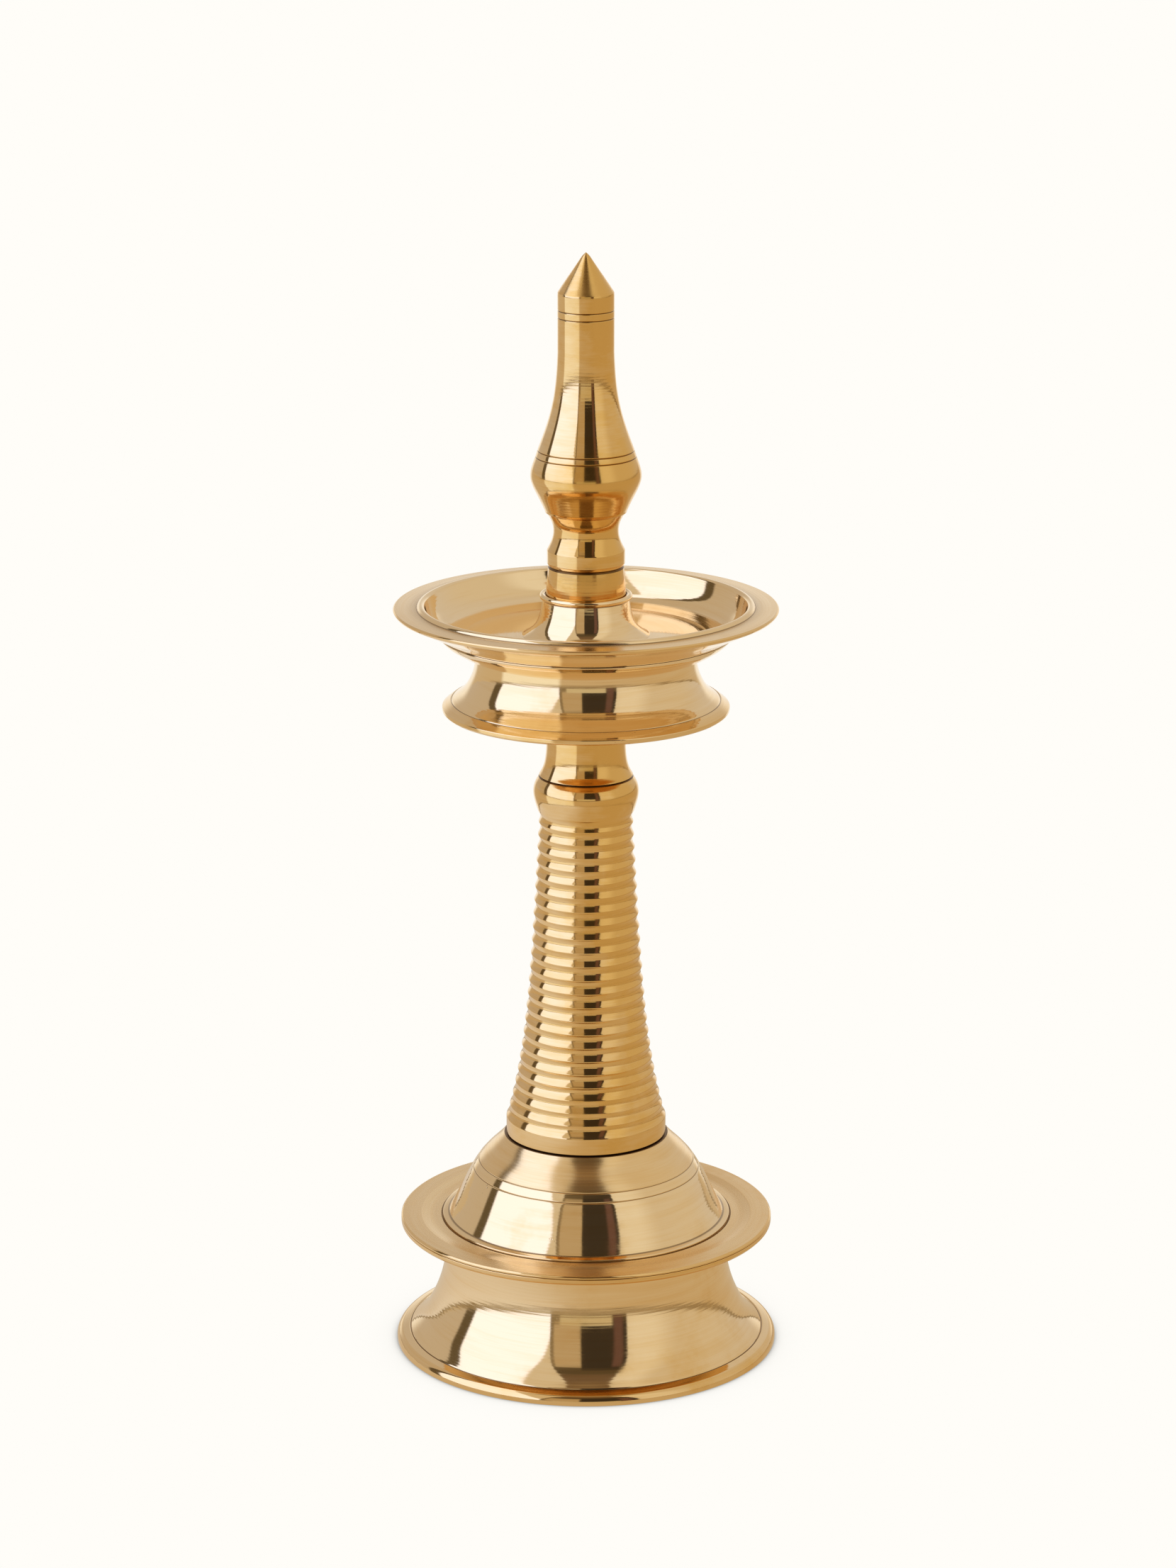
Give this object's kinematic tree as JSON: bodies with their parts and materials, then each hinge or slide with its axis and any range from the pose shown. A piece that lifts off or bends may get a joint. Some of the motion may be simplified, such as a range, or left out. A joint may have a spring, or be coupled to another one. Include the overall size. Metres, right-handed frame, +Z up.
{
  "type": "standing oil lamp",
  "caption": "Brass standing oil lamp: flared foot, domed cap, ribbed column, bell-shaped stand, wide oil dish and pointed finial, screwed together.",
  "frame": {"origin": "centre of the resting face under the foot, on the lamp's axis", "axes": "+Z up along the lamp's axis, from the foot to the finial's tip; +X and +Y are any two square directions, because the lamp is round"},
  "size_m": [0.1234, 0.1234, 0.356],
  "materials": {
    "foot_brass": "turned and polished, fine lathe lines",
    "dome_brass": "turned and polished, engraved lines",
    "thread_brass": "cut thread, satin",
    "column_brass": "turned ribs, polished crests and darker grooves",
    "neck_brass": "turned and polished",
    "stand_brass": "turned and polished, fine lathe lines",
    "dish_brass": "turned, polished, coarser lathe lines inside the bowl",
    "finial_brass": "turned and polished, engraved lines"
  },
  "bodies": {
    "base": {"foot": "foot_brass", "base_dome": "dome_brass"},
    "column_nipple": {"base_nipple": "thread_brass"},
    "column": {"column": "column_brass"},
    "neck_stud": {"column_stud": "thread_brass"},
    "neck": {"neck": "neck_brass", "dish_stand": "stand_brass"},
    "dish_stud": {"dish_stud": "thread_brass"},
    "dish": {"dish": "dish_brass", "post": "neck_brass"},
    "finial_stud": {"finial_stud": "thread_brass"},
    "finial": {"finial": "finial_brass"}
  },
  "joints": [
    {"name": "column_turn", "type": "hinge", "parent": "base", "child": "column_nipple", "pos_m": [0, 0, 0.0703], "axis": [0, 0, 1], "range_deg": [0, 1800]},
    {"name": "column_rise", "type": "slide", "parent": "column_nipple", "child": "column", "axis": [0, 0, 1], "range_m": [0, 0.01]},
    {"name": "neck_turn", "type": "hinge", "parent": "column", "child": "neck_stud", "pos_m": [0, 0, 0.1895], "axis": [0, 0, 1], "range_deg": [0, 1800]},
    {"name": "neck_rise", "type": "slide", "parent": "neck_stud", "child": "neck", "axis": [0, 0, 1], "range_m": [0, 0.01]},
    {"name": "dish_turn", "type": "hinge", "parent": "neck", "child": "dish_stud", "pos_m": [0, 0, 0.2329], "axis": [0, 0, 1], "range_deg": [0, 1800]},
    {"name": "dish_rise", "type": "slide", "parent": "dish_stud", "child": "dish", "axis": [0, 0, 1], "range_m": [0, 0.0075]},
    {"name": "finial_turn", "type": "hinge", "parent": "dish", "child": "finial_stud", "pos_m": [0, 0, 0.2575], "axis": [0, 0, 1], "range_deg": [0, 1800]},
    {"name": "finial_rise", "type": "slide", "parent": "finial_stud", "child": "finial", "axis": [0, 0, 1], "range_m": [0, 0.0075]}
  ],
  "couplings": [
    {"joint": "column_rise", "follows": "column_turn", "m_per_rad": 0.00031831},
    {"joint": "neck_rise", "follows": "neck_turn", "m_per_rad": 0.00031831},
    {"joint": "dish_rise", "follows": "dish_turn", "m_per_rad": 0.00023873},
    {"joint": "finial_rise", "follows": "finial_turn", "m_per_rad": 0.00023873}
  ]
}
